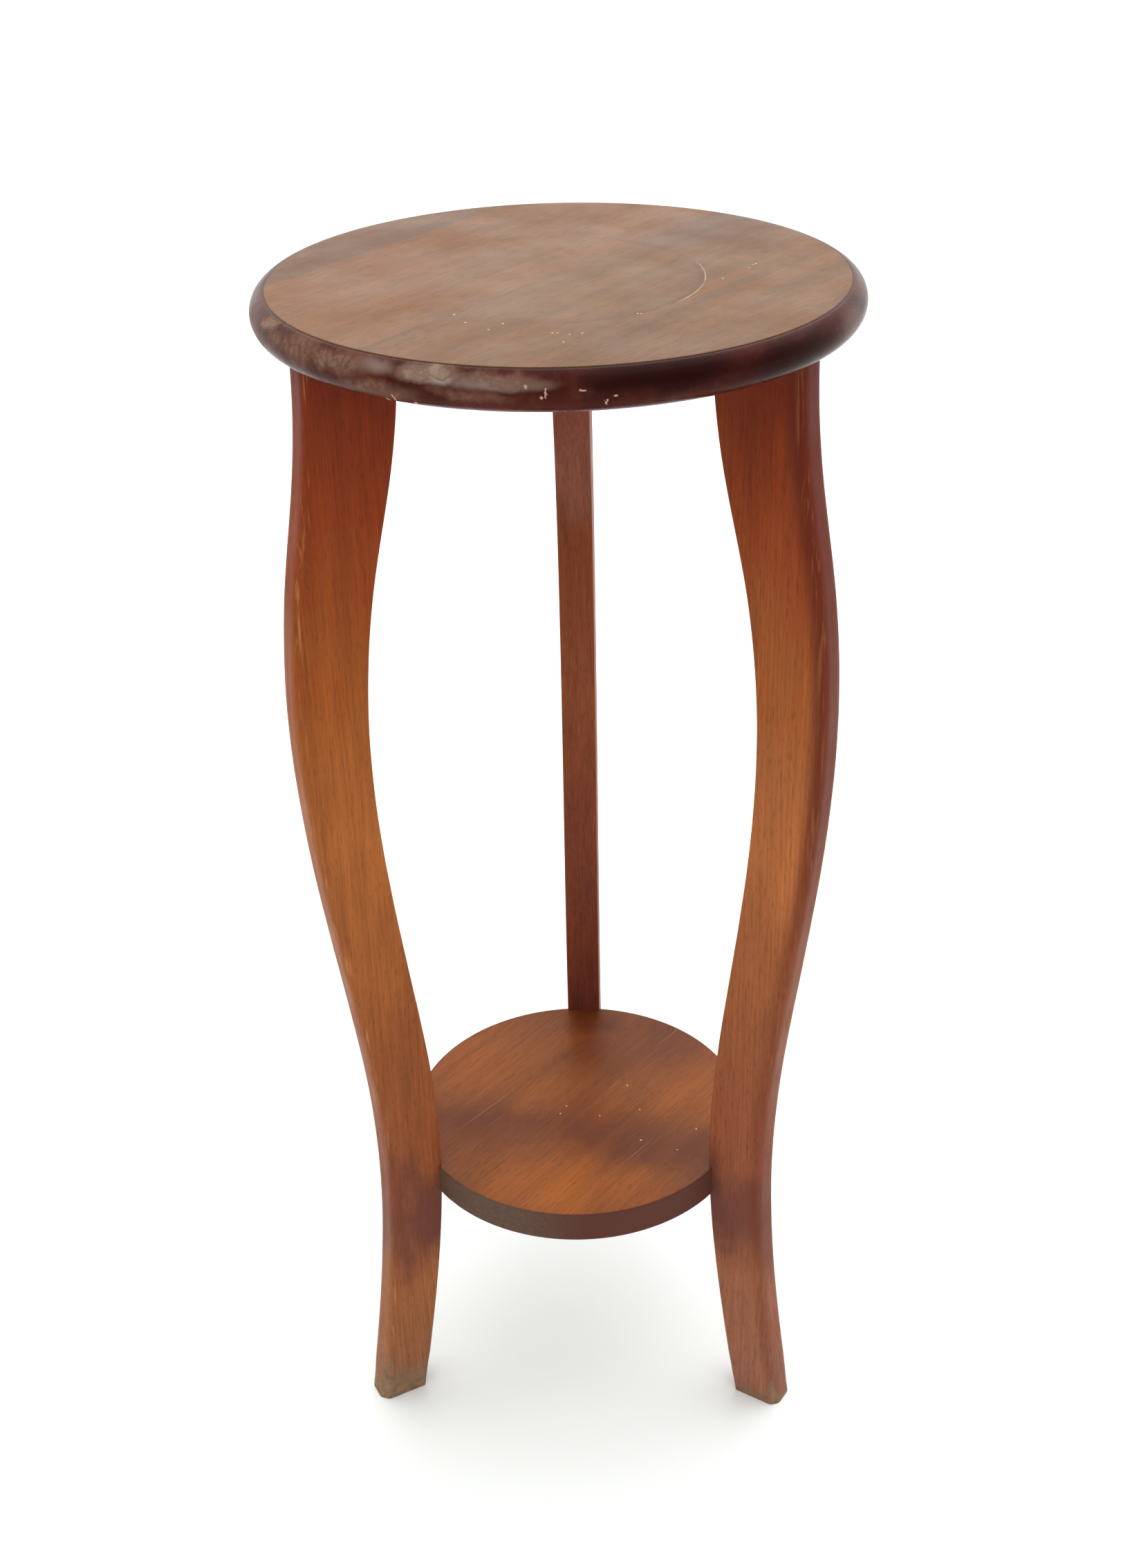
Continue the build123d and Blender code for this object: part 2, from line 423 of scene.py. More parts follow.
def discTree():
    # a profile turned round the axis, then knocked along its edge
    tree, add, given = startTree("turnedDisc", {
        "Object": ("Profile",), "Int": ("Profile Points", "Segments"), "Material": ("Material",),
        "Float": ("Rim Radius", "Wear Depth", "Wear Azimuth")})
    sheet = add("GeometryNodeMeshGrid", {"Size X": 1.0, "Size Y": 1.0, "Vertices X": given["Profile Points"],
                                         "Vertices Y": add("Math ADD", given["Segments"], 1.0)})
    here = add("GeometryNodeInputPosition")
    place = add("SeparateXYZ", here).outputs
    lastRow = add("Math SUBTRACT", given["Profile Points"], 1.0)
    row = add("Math ROUND", add("Math MULTIPLY", add("Math ADD", place[0], 0.5), lastRow))
    turn = add("Math MULTIPLY", add("Math ADD", place[1], 0.5), -2 * math.pi)
    sample = sampleRow(tree, add, given["Profile"], row)
    spun = add("VectorRotate", {"Vector": sample, "Angle": turn}, rotation_type="Z_AXIS")
    turned = add("GeometryNodeSetPosition", {"Geometry": sheet.outputs["Mesh"], "Position": spun})
    closed = add("GeometryNodeMergeByDistance", {"Geometry": turned, "Distance": 0.02 * mm})
    # broad knocks and small chips along the edge, deepest at the worn side; they only go inwards
    xyz = add("SeparateXYZ", here).outputs
    squares = add("Math ADD", add("Math MULTIPLY", xyz[0], xyz[0]), add("Math MULTIPLY", xyz[1], xyz[1]))
    fromAxis = add("Math SQRT", squares)
    onRim = add("Math GREATER_THAN", fromAxis, given["Rim Radius"])
    facing = add("Math COSINE",
                 add("Math SUBTRACT", add("Math ARCTAN2", xyz[1], xyz[0]), given["Wear Azimuth"]))
    bySide = add("MapRange", facing, 0.72, 1.0, 0.12, 1.0)
    knocks = add("TexNoise", {"Vector": here, "Scale": cells(10.5263), "Detail": 3.0, "Roughness": 0.55})
    chips = add("TexNoise", {"Vector": here, "Scale": cells(3.84615), "Detail": 2.0, "Roughness": 0.6})
    broadDents = add("MapRange", knocks, 0.52, 0.8, 0.0, 0.6)
    smallChips = add("MapRange", chips, 0.62, 0.8, 0.0, 0.5)
    deep = add("Math MULTIPLY", add("Math ADD", broadDents, smallChips), onRim)
    depth = add("Math MULTIPLY", add("Math MULTIPLY", deep, bySide),
                add("Math MULTIPLY", given["Wear Depth"], -1.0))
    inward = add("VectorMath SCALE", add("GeometryNodeInputNormal"), depth)
    worn = add("GeometryNodeSetPosition", {"Geometry": closed, "Offset": inward})
    stored = add("GeometryNodeStoreNamedAttribute", {"Geometry": worn, "Name": "knock", "Value": deep},
                 data_type="FLOAT", domain="POINT")
    finishTree(add, stored, given["Material"])
    return tree


def topProfile(v):
    low, high = topLow.z, topHigh.z - 0.01 * mm
    flat = topRadius - v["edgeOverhang"] * mm
    step = v["step"] * mm
    rings = [flat * i / v["flatRings"] for i in range(v["flatRings"])]
    points = [Vector((r, 0, low)) for r in rings] + [Vector((flat - 0.6 * mm, 0, low))]
    # arc from the lower flat round to just under the quirk
    rise, reach = (high - low) / 2, topRadius - flat
    radius = (rise**2 + reach**2) / (2 * reach)
    sweep = math.asin(rise / radius)
    for i in range(v["arcSteps"] + 1):
        angle = -sweep + 2 * sweep * i / v["arcSteps"]
        point = Vector((topRadius - radius + radius * math.cos(angle), 0,
                        (low + high) / 2 + radius * math.sin(angle)))
        point.z = min(point.z, high - step)
        points.append(point)
    quirk = flat - 0.35 * mm
    points += [Vector((quirk, 0, high - step)), Vector((quirk - 0.15 * mm, 0, high - 0.15 * mm)),
               Vector((quirk - 0.4 * mm, 0, high)), Vector((quirk - 1.5 * mm, 0, high))]
    points += [Vector((r, 0, high)) for r in reversed(rings)]
    return points


def shelfProfile(v):
    low, high, arris = shelfLow.z, shelfHigh.z, v["arris"] * mm
    rings = [(shelfRadius - arris) * i / v["flatRings"] for i in range(v["flatRings"])]
    points = [Vector((r, 0, low)) for r in rings] + [Vector((shelfRadius - 2 * arris, 0, low))]
    quarter = [math.radians(30 * i) for i in range(4)]
    points += [Vector((shelfRadius - arris + arris * math.sin(a), 0,
                       low + arris - arris * math.cos(a))) for a in quarter]
    steps = v["rimSteps"]
    points += [Vector((shelfRadius, 0,
                       low + arris + (high - low - 2 * arris) * i / steps)) for i in range(1, steps)]
    points += [Vector((shelfRadius - arris + arris * math.cos(a), 0,
                       high - arris + arris * math.sin(a))) for a in quarter]
    points += [Vector((shelfRadius - 2 * arris, 0, high))] + [Vector((r, 0, high)) for r in reversed(rings)]
    return points


def planeOff(solid, point, outwards):
    # takes away what lies past a plane and closes the cut
    cut = bmesh.ops.bisect_plane(
        solid, geom=solid.verts[:] + solid.edges[:] + solid.faces[:], dist=1e-7,
        plane_co=point, plane_no=outwards, clear_outer=True)
    rim = [e for e in cut["geom_cut"] if isinstance(e, bmesh.types.BMEdge)]
    if rim:
        bmesh.ops.contextual_create(solid, geom=rim)


def splitBoards(disc, joints, names):
    # one closed board between each pair of glue lines
    limits = [None, *joints, None]
    boards = []
    for name, near, far in zip(names, limits[:-1], limits[1:]):
        solid = bmesh.new()
        solid.from_mesh(disc.data)
        for distance, side in ((near, -1), (far, 1)):
            if distance is not None:
                planeOff(solid, acrossBoards * distance * mm, acrossBoards * side)
        mesh = bpy.data.meshes.new(name)
        for material in disc.data.materials:
            mesh.materials.append(material)
        bmesh.ops.recalc_face_normals(solid, faces=solid.faces)
        solid.to_mesh(mesh)
        solid.free()
        boards.append(linkObject(name, mesh))
    return boards


def planeSeats(board):
    # a narrow flat on the shelf's rim for each leg
    solid = bmesh.new()
    solid.from_mesh(board.data)
    for azimuth in legAzimuths.values():
        out = Vector((math.cos(math.radians(azimuth)), math.sin(math.radians(azimuth)), 0))
        planeOff(solid, out * seatRadius, out)
    bmesh.ops.recalc_face_normals(solid, faces=solid.faces)
    solid.to_mesh(board.data)
    solid.free()


def lacquerRim(board, edge, flatMaterial, rimMaterial):
    # faces past this radius take the rim's finish
    board.data.materials.clear()
    board.data.materials.append(flatMaterial)
    board.data.materials.append(rimMaterial)
    for face in board.data.polygons:
        face.material_index = int(face.center.xy.length > edge)


def makeDisc(tree, name, v, profile, radius, material, rimMaterial=None):
    # the top has a lacquered rim, the shelf a plain one with a seat for each leg
    edge = radius - v["edgeStart"] * mm
    row = pointRow(name + "Profile", profile)
    disc = growMesh(name + "Disc", tree, {
        "Profile": row, "Profile Points": len(profile), "Segments": v["segments"], "Rim Radius": edge,
        "Wear Depth": v["wear"] * mm, "Wear Azimuth": math.radians(wornSide), "Material": material})
    removeObject(row)
    names = [f"{name}Board{i + 1}" for i in range(len(v["joints"]) + 1)]
    for number, board in enumerate(splitBoards(disc, v["joints"], names), start=1):
        if rimMaterial:
            lacquerRim(board, edge, material, rimMaterial)
        else:
            planeSeats(board)
        sharpenFlats(board, math.radians(discCreaseAngle))
        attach(board, "root")
        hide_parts(f"{name}_board_{number}")
    removeObject(disc)


def startMaterial(name):
    material = bpy.data.materials.new(name)
    material.use_nodes = True
    material.node_tree.nodes.clear()
    return material, nodeAdder(material.node_tree)


def woodFigure(add, place, along, v):
    # solid wood texture: cell sizes in millimetres, longer along the grain's axis
    def stretched(acrossSize, alongSize):
        scale = [1000 / acrossSize] * 3
        scale[along] = 1000 / alongSize
        return add("VectorMath MULTIPLY", place, scale)

    # annual bands, then fibres and pores, drawn about three times coarser than life so that they show
    bands = add("TexNoise",
                {"Vector": stretched(v["bandWidth"], 240), "Scale": 1.0, "Detail": 3.0, "Distortion": 0.4})
    fibres = add("TexNoise", {"Vector": stretched(1.5, 55), "Scale": 1.0, "Detail": 3.0, "Roughness": 0.6})
    pores = add("TexNoise", {"Vector": stretched(1.2, 8), "Scale": 1.0, "Detail": 1.0, "Roughness": 0.5})
    mottle = add("TexNoise", {"Vector": stretched(22, 60), "Scale": 1.0, "Detail": 4.0, "Roughness": 0.55})
    poreMask = add("MapRange", pores, 0.54, 0.7, 0.0, 1.0, **smooth)
    tone = add("Math MULTIPLY_ADD", bands, v["bandShare"], add("Math MULTIPLY", mottle, v["mottleShare"]))
    tone = add("Math MULTIPLY_ADD", fibres, v["fibreShare"], tone)
    total = v["bandShare"] + v["mottleShare"] + v["fibreShare"]
    brightness = add("MapRange", tone, 0.32 * total, 0.68 * total, 1 - v["contrast"], 1 + v["contrast"])
    brightness = add("Math MULTIPLY", brightness,
                     add("MapRange", poreMask, 0.0, 1.0, 1.0, 1 - v["poreDark"]))
    relief = add("Math ADD", fibres, add("Math MULTIPLY", poreMask, -0.8))
    return {"mottle": mottle, "brightness": brightness, "relief": relief}


def varnish(add, material, colour, roughness, height, v):
    # one clear coat over coloured wood, pores and fibres telegraphing through it
    bump = add("Bump", {"Height": height, "Strength": 1.0, "Distance": v["reliefDepth"] * mm})
    shader = add("BsdfPrincipled", {
        "Base Color": colour, "Roughness": roughness, "Normal": bump, "IOR": 1.5,
        "Specular IOR Level": v["specular"], "Coat Weight": v["coat"], "Coat Roughness": v["coatRoughness"],
        "Coat IOR": 1.5})
    add("OutputMaterial", {"Surface": shader})
    return material


legWoodValues = {
    "bandWidth": 7.0, "bandShare": 0.35, "mottleShare": 0.25, "fibreShare": 0.6,
    "contrast": 0.3, "poreDark": 0.17, "reliefDepth": 0.04,
    "specular": 0.09, "coat": 0.02, "coatRoughness": 0.25, "roughness": 0.48,
    # stain and toner by height above the floor in metres; the darkening towards the head is partly painted
    # shade under the top
    "stain": [(0.0, "#8e593e"), (0.09, "#975934"), (0.2, "#89492a"), (0.3, "#8d4c26"), (0.45, "#a25b2a"),
              (0.56, "#924b1c"), (0.65, "#853511"), (0.738, "#681f06")],
    "toner": "#5a302c",
    "tonerHeight": 0.158,     # middle of the toner at the shelf joint, in metres
    "tonerReach": 0.065,
    "edgeTonerAndShade": "#5a1c0d",
    "worn": "#c48250",
    "rawFoot": "#7d6650",
}
# how each plank looks: a painted reflection cast low down and at the head, and where the head's begins;
# bare wood above the floor in millimetres; strength of the edge toner with its painted shade and of the
# rubbed corners with their painted highlight
legFinishes = {
    "back": {
        "azimuth": 90, "seed": 0.3, "paintedReflectionCast": (0.65, 0.58, 1.0), "headPaintedReflectionCast": (0.78, 1.15, 4.2),
        "headFrom": (0.54, 0.6), "bareHeight": 8, "edgeTonerAndShade": 0.3, "rubbingAndHighlight": 0.35},
    "left": {
        "azimuth": 210, "seed": 1.1, "paintedReflectionCast": (1.0, 1.04, 1.05), "headPaintedReflectionCast": (1.0, 0.98, 0.85),
        "headFrom": (0.6, 0.7), "bareHeight": 34, "edgeTonerAndShade": 0.15, "rubbingAndHighlight": 0.5},
    "right": {
        "azimuth": 330, "seed": 2.3, "paintedReflectionCast": (1.04, 1.12, 1.5), "headPaintedReflectionCast": (0.97, 1.1, 1.1),
        "headFrom": (0.6, 0.7), "bareHeight": 9, "edgeTonerAndShade": 0.85, "rubbingAndHighlight": 0.22},
}


def legWood(name, finish):
    # stained plank under satin varnish with painted shade, reflection and highlight: redder at the head,
    # toner at the shelf, rubbed outer corners
    v = legWoodValues
    bareHeight = finish["bareHeight"] * mm
    material, add = startMaterial(name)
    # x runs outwards across the plank, y through its thickness, z up
    turn = -math.radians(finish["azimuth"])
    plank = add("Mapping", {"Vector": add("TexCoord").outputs["Object"], "Rotation": (0, 0, turn)})
    seed = finish["seed"]
    shifted = add("VectorMath ADD", plank, (seed, seed * 1.7, seed * 0.6))
    figure = woodFigure(add, shifted, 2, v)
    xyz = add("SeparateXYZ", plank).outputs
    acrossLeg = add("Attribute", attribute_name="across").outputs["Fac"]
    corner = add("Attribute", attribute_name="corner").outputs["Fac"]

    wander = add("Math MULTIPLY_ADD", figure["mottle"], 0.14, -0.07)
    height = add("Math ADD", xyz[2], wander)
    rampTop = 0.74            # metres; a little above the head
    # the ramp darkens towards the head: partly toner, partly painted shade under the top
    ramp = add("ValToRGB", add("Math DIVIDE", height, rampTop))
    stops = ramp.color_ramp.elements
    for i, (z, hexCode) in enumerate(v["stain"]):
        stop = stops[i] if i < 2 else stops.new(1.0)
        stop.position = min(z / rampTop, 1.0)
        stop.color = linearColour(hexCode)
    stain = add("VectorMath SCALE", ramp, figure["brightness"])
    # painted reflection: each leg's colour cast, greying the back and right legs, most at the back leg's
    # head
    headPart = add("MapRange", height, *finish["headFrom"], 0.0, 1.0, **smooth)
    paintedReflectionCast = add("Mix", headPart, finish["paintedReflectionCast"], finish["headPaintedReflectionCast"], data_type="VECTOR")
    stain = add("VectorMath MULTIPLY", stain, paintedReflectionCast)
    # sprayed toner around the shelf joint, strongest on the inner half
    offset = add("Math ABSOLUTE", add("Math SUBTRACT", height, v["tonerHeight"]))
    tonerBand = add("MapRange", offset, 0.01, v["tonerReach"], 1.0, 0.0, **smooth)
    tonerSide = add("MapRange", acrossLeg, 0.0, 1.0, 0.85, 0.55)
    tonerMask = add("Math MULTIPLY", tonerBand, tonerSide)
    toned = add("Mix", tonerMask, stain, v["toner"], **coloured)
    # a second, redder pass of toner down the outer edge of the upper half, also painted shade on the rounded
    # edge, strongest on the right leg
    nearCorner = add("MapRange", corner, 0.05, 0.6, 0.0, 1.0, **smooth)
    outerPart = add("MapRange", acrossLeg, 0.72, 0.95, 0.0, finish["edgeTonerAndShade"], **smooth)
    upperPart = add("MapRange", height, 0.28, 0.5, 0.45, 1.0, **smooth)
    edgeTonerShadeMask = add("Math MULTIPLY", outerPart, upperPart)
    toned = add("Mix", edgeTonerShadeMask, toned, v["edgeTonerAndShade"], **coloured)
    # rubbed corners: pale streaks 2.4 mm wide and 70 mm long where the stain has gone, with a painted
    # highlight where the round catches the light, strongest on the left leg
    drawn = add("VectorMath MULTIPLY", shifted, (cells(2.38095), cells(2.38095), cells(71.4286)))
    streak = add("TexNoise", {"Vector": drawn, "Scale": 1.0, "Detail": 4.0, "Roughness": 0.6})
    outerOnly = add("Math GREATER_THAN", acrossLeg, 0.5)
    rubbedAndLit = add("Math MULTIPLY", nearCorner, add("MapRange", streak, 0.55, 0.68, 0.0, finish["rubbingAndHighlight"]))
    rubbedAndLit = add("Math MULTIPLY", rubbedAndLit, add("MapRange", outerOnly, 0.0, 1.0, 0.35, 1.0))
    rubbedAndLitColour = add("Mix", rubbedAndLit, toned, v["worn"], **coloured)
    # bare grey wood at the foot, with a ragged upper limit
    scrape = add("TexNoise", {"Vector": shifted, "Scale": cells(6.25), "Detail": 4.0, "Roughness": 0.65})
    footTop = add("Math MULTIPLY_ADD", scrape, 0.05, -0.025)
    footHeight = add("Math ADD", xyz[2], add("Math ADD", footTop, add("Math MULTIPLY", corner, -0.02)))
    bare = add("MapRange", footHeight, bareHeight * 0.2, bareHeight, 0.8, 0.0, **smooth)
    bareColour = add("VectorMath SCALE", linearColour(v["rawFoot"])[:3],
                     add("MapRange", scrape, 0.3, 0.7, 0.7, 1.5))
    colour = add("Mix", bare, rubbedAndLitColour, bareColour, **coloured)

    dull = add("Math MAXIMUM", bare, rubbedAndLit)
    smear = add("TexNoise", {"Vector": shifted, "Scale": cells(28.5714), "Detail": 3.0})
    gloss = add("MapRange", smear, 0.3, 0.7, v["roughness"] - 0.06, v["roughness"] + 0.1)
    roughness = add("Mix", dull, gloss, 0.75)
    sway = add("TexNoise", {"Vector": shifted, "Scale": cells(14.2857), "Detail": 1.0})
    relief = add("Math MULTIPLY_ADD", sway, 2.0, figure["relief"])
    relief = add("Math MULTIPLY_ADD", add("Math MULTIPLY", bare, scrape), 3.0, relief)
    return varnish(add, material, colour, roughness, relief, v)


def discPlaces(add):
    # the place itself, its three parts, the place seen flat from above, and the place turned so that
    # x follows the grain
    place = add("TexCoord").outputs["Object"]
    xyz = add("SeparateXYZ", place).outputs
    planar = add("CombineXYZ", xyz[0], xyz[1], 0.0)
    grained = add("Mapping", {"Vector": place, "Rotation": (0, 0, -boardDirection)})
    return place, xyz, planar, grained


def fromMiddle(add, noise):
    # a noise's colour as a shift to every side
    return add("VectorMath SUBTRACT", noise.outputs["Color"], (0.5, 0.5, 0.5))


def softSpots(add, grained, cloud, v, key):
    # soft patches drawn out along the grain: x, y, radius in millimetres and strength
    drift, slim = v["patchDrift"], v["patchSlimness"]
    flat = add("VectorMath MULTIPLY", grained, (slim, 1.0, 0.0))
    place = add("VectorMath MULTIPLY_ADD", fromMiddle(add, cloud), (drift, drift, 0.0), flat)
    mask = None
    for x, y, radius, strength in v[key]:
        centre = Matrix.Rotation(-boardDirection, 3, "Z") @ Vector((x * mm, y * mm, 0.0))
        far = add("VectorMath DISTANCE", place, (centre.x * slim, centre.y, 0.0))
        spot = add("MapRange", far, radius * 0.15 * mm, radius * mm, strength, 0.0, **smooth)
        mask = spot if mask is None else add("Math MAXIMUM", mask, spot)
    return mask


speckValues = {"radius": 0.55, "raggedness": 1.2}    # small spatters of paint, in millimetres


def spatter(add, planar, under, v):
    # distance to the nearest speck, its outline made ragged, and the colour with the specks on it
    ragged = speckValues["raggedness"] * mm
    crumb = add("TexNoise", {"Vector": planar, "Scale": cells(1.11111), "Detail": 1.0})
    crumbled = add("VectorMath ADD", planar,
                   add("VectorMath MULTIPLY", crumb.outputs["Color"], (ragged, ragged, 0.0)))
    nearest = None
    for x, y in v["specks"]:
        centre = ((x + 0.6) * mm, (y + 0.6) * mm, 0.0)
        far = add("VectorMath DISTANCE", crumbled, centre)
        nearest = far if nearest is None else add("Math MINIMUM", nearest, far)
    size = speckValues["radius"] * mm
    mask = add("MapRange", nearest, size * 0.6, size * 1.1, 1.0, 0.0, **smooth)
    return mask, add("Mix", mask, under, v["speckColour"], **coloured)


def rimSpots(add, unrolled, spots, core):
    # the strongest of several oval patches on the rolled-out rim
    mask = None
    for azimuth, rise, halfLength, halfHeight, strength in spots:
        angle = math.radians(azimuth if azimuth < 180 else azimuth - 360)
        centre = (angle * topRadius, (topLow.z + topHigh.z) / 2 + rise * mm, 0.0)
        away = add("VectorMath SUBTRACT", unrolled, centre)
        sized = add("VectorMath MULTIPLY", away, (1000 / halfLength, 1000 / halfHeight, 0.0))
        far = add("VectorMath LENGTH", sized)
        spot = add("MapRange", far, core, 1.1, strength, 0.0, **smooth)
        mask = spot if mask is None else add("Math MAXIMUM", mask, spot)
    return mask


topWoodValues = {
    "bandWidth": 11.0, "bandShare": 0.45, "mottleShare": 0.35, "fibreShare": 0.4,
    "contrast": 0.3, "poreDark": 0.26, "reliefDepth": 0.05,
    "specular": 0.17, "rimSpecular": 0.05, "coat": 0.0, "coatRoughness": 0.24, "roughness": 0.4,
    "boardTints": ["#6a421f", "#714520", "#664126"],
    "patches": [(88, 96, 36, 0.4), (112, 62, 20, 0.25), (-122, 60, 30, 0.18), (-30, 135, 22, 0.15),
                (40, -92, 24, 0.12), (-60, 84, 18, 0.15), (58, -26, 22, 0.12), (10, 112, 16, 0.12)],
    "patchColour": "#46302f",
    "patchSlimness": 0.4,     # under 1 draws the patches out along the grain
    "patchDrift": 0.05,
    "pot": (-6, -5, 84),      # where a pot stood: x, y and radius in millimetres
    "potGrey": "#857a6c",
    "potRing": "#3a1f17",
    "scratch": "#c9a98c",
    "specks": [(106, 15.5), (107.5, 17), (103.4, 10), (88.6, -11), (43.9, -73.2), (45.6, -73.4),
               (-23.7, -88.7), (-30.3, -98), (2, -104.6), (4.4, -104.9), (8, -119), (16.8, -105.4),
               (10.5, -107.2), (-50, -72), (-43, -86)],
    "speckColour": "#e2d3bd",
    "arrisLine": "#241009",
    "rim": "#34100c",
    "rimLight": "#541f16",
    # rubbed places on the rim: azimuth in degrees, then height from mid-thickness, half length and
    # half height in millimetres, strength
    "scuffs": [(207, 8, 15, 5, 0.9), (213, 5, 12, 5, 0.65), (221, 5, 26, 9, 0.65), (232, 5, 34, 7, 0.7),
               (204, -2, 18, 10, 0.5), (252, 8.5, 18, 4, 1.1), (248, 5, 14, 4, 0.9), (263, 6.5, 30, 4, 0.6),
               (257, -1, 28, 4, 0.5), (240, -4, 30, 6, 0.55), (196, 2, 20, 10, 0.4), (50, 4, 40, 8, 0.4)],
    "scuffColours": ["#6c4a3c", "#937f6e"],
    # cloudy wear with a painted sheen along the crest, and painted shade on the rim's front right, laid out
    # the same way
    "wearAndPaintedSheen": [(251, 6.5, 22, 5, 1.0), (262, 5, 34, 4, 0.5), (240, 7, 16, 4, 0.4), (338, 3, 24, 9, 0.15)],
    "wearAndPaintedSheenColour": "#b0a29a",
    "paintedRimShade": [(292, 5, 55, 10, 1.0), (316, 1, 50, 12, 0.95)],
    "paintedRimShadeColour": "#230706",
    "chips": [(243.5, -7.5, 0.8, 2.6), (241.8, -9.5, 1.3, 1.0), (270.5, 1.2, 0.7, 2.6),
              (269.8, -1.2, 1.0, 0.8), (267.2, 4.2, 0.8, 1.2), (280.4, -4.5, 0.6, 1.8),
              (282, -1.5, 1.2, 0.5), (276.5, 2, 1.6, 0.5), (247.5, -9, 0.7, 1.0)],
    "chipColour": "#c9a08a",
}


def topWood(v, name, specular):
    # broad boards stained mid brown under satin varnish, dark lacquered rim rubbed through at the end grain
    material, add = startMaterial(name)
    place, xyz, planar, grained = discPlaces(add)
    acrossGrain = add("SeparateXYZ", grained).outputs[1]
    steps = [add("Math GREATER_THAN", acrossGrain, j * mm) for j in topValues["joints"]]
    board = add("Math ADD", *steps)
    shift = add("CombineXYZ", add("Math MULTIPLY", board, 0.37), 0.0, add("Math MULTIPLY", board, 0.21))
    shifted = add("VectorMath ADD", grained, shift)
    figure = woodFigure(add, shifted, 0, v)
    tint = add("Mix", steps[0], v["boardTints"][0], v["boardTints"][1], **coloured)
    tint = add("Mix", steps[1], tint, v["boardTints"][2], **coloured)
    stain = add("VectorMath SCALE", tint, figure["brightness"])

    cloud = add("TexNoise", {"Vector": grained, "Scale": cells(71.4286), "Detail": 4.0, "Roughness": 0.6})
    patches = softSpots(add, grained, cloud, v, "patches")
    toned = add("Mix", patches, stain, v["patchColour"], **coloured)
    # where a pot stood: greyer inside, a broken dark ring, a pale scratch beside it
    potX, potY, potRadius = v["pot"]
    fromPot = add("VectorMath DISTANCE", planar, (potX * mm, potY * mm, 0.0))
    inside = add("MapRange", fromPot, (potRadius - 40) * mm, potRadius * mm, 0.1, 0.0, **smooth)
    greyed = add("Mix", inside, toned, v["potGrey"], **coloured)
    ringBreaks = add("TexNoise", {"Vector": planar, "Scale": cells(38.4615), "Detail": 2.0})
    ringOff = add("Math ABSOLUTE", add("Math SUBTRACT", fromPot, potRadius * mm))
    ring = add("MapRange", ringOff, 0.5 * mm, 3.0 * mm, 1.0, 0.0, **smooth)
    ring = add("Math MULTIPLY", ring, add("MapRange", ringBreaks, 0.4, 0.6, 0.14, 0.46))
    ring = add("Math MULTIPLY", ring, add("MapRange", xyz[0], -0.05, 0.03, 0.2, 1.0))
    ringed = add("Mix", ring, greyed, v["potRing"], **coloured)
    lineOff = add("Math ABSOLUTE", add("Math SUBTRACT", fromPot, (potRadius + 1.6) * mm))
    line = add("MapRange", lineOff, 0.15 * mm, 0.6 * mm, 1.0, 0.0, **smooth)
    lineStart = add("MapRange", xyz[1], -0.055, -0.045, 0.0, 1.0)
    lineEnd = add("MapRange", xyz[1], 0.018, 0.026, 1.0, 0.0)
    line = add("Math MULTIPLY", line, add("Math MULTIPLY", lineStart, lineEnd))
    line = add("Math MULTIPLY", line, add("Math GREATER_THAN", xyz[0], 0.04))
    line = add("Math MULTIPLY", line, add("MapRange", ringBreaks, 0.42, 0.56, 0.1, 0.65))
    scratched = add("Mix", line, ringed, v["scratch"], **coloured)
    speckMask, spattered = spatter(add, planar, scratched, v)

    # rim: dark lacquer thinner on the crest, rubbed grey where the end grain shows, with painted shade
    # darker on the front right
    fromAxis = add("VectorMath LENGTH", planar)
    flat = topRadius - topValues["edgeOverhang"] * mm
    rimMask = add("MapRange", fromAxis, flat - 0.5 * mm, flat + 0.1 * mm, 0.0, 1.0)
    crest = add("MapRange", figure["mottle"], 0.35, 0.7, 0.0, 0.8)
    lacquer = add("Mix", crest, v["rim"], v["rimLight"], **coloured)
    knock = add("Attribute", attribute_name="knock").outputs["Fac"]
    eddies = add("TexNoise", {"Vector": place, "Scale": cells(16.6667), "Detail": 5.0, "Roughness": 0.65})
    scuffGrain = add("TexNoise", {"Vector": place, "Scale": cells(4.16667), "Detail": 4.0, "Roughness": 0.7})
    # the rim rolled out flat: along it, up it
    around = add("Math MULTIPLY", add("Math ARCTAN2", xyz[1], xyz[0]), topRadius)
    unrolled = add("CombineXYZ", around, xyz[2], 0.0)
    swirl = fromMiddle(add, eddies)
    torn = add("VectorMath MULTIPLY_ADD", swirl, (0.03, 0.012, 0.0), unrolled)
    scuff = rimSpots(add, torn, v["scuffs"], 0.2)
    scuffed = add("Math MULTIPLY", scuff, add("MapRange", scuffGrain, 0.35, 0.6, 0.5, 1.0))
    # painted shade: darker patches on the rim's front right, where fewer knocks show
    paintedRimShadeMask = rimSpots(add, torn, v["paintedRimShade"], 0.3)
    knocked = add("MapRange", paintedRimShadeMask, 0.0, 0.6, 0.26, 0.0)
    scuffed = add("Math MULTIPLY_ADD", knock, knocked, scuffed, use_clamp=True)
    half = add("MapRange", scuffed, 0.0, 0.5, 0.0, 0.85)
    rubbedThrough = add("MapRange", scuffed, 0.45, 0.95, 0.0, 0.7)
    # painted sheen: pale cloudy patches along the crest, partly rubbed lacquer
    drifted = add("VectorMath MULTIPLY_ADD", swirl, (0.012, 0.005, 0.0), unrolled)
    paintedRimShade = add("Mix", paintedRimShadeMask, lacquer, v["paintedRimShadeColour"], **coloured)
    withWearAndPaintedSheen = add("Mix", rimSpots(add, drifted, v["wearAndPaintedSheen"], 0.05), paintedRimShade, v["wearAndPaintedSheenColour"], **coloured)
    rimColour = add("Mix", half, withWearAndPaintedSheen, v["scuffColours"][0], **coloured)
    rimColour = add("Mix", rubbedThrough, rimColour, v["scuffColours"][1], **coloured)
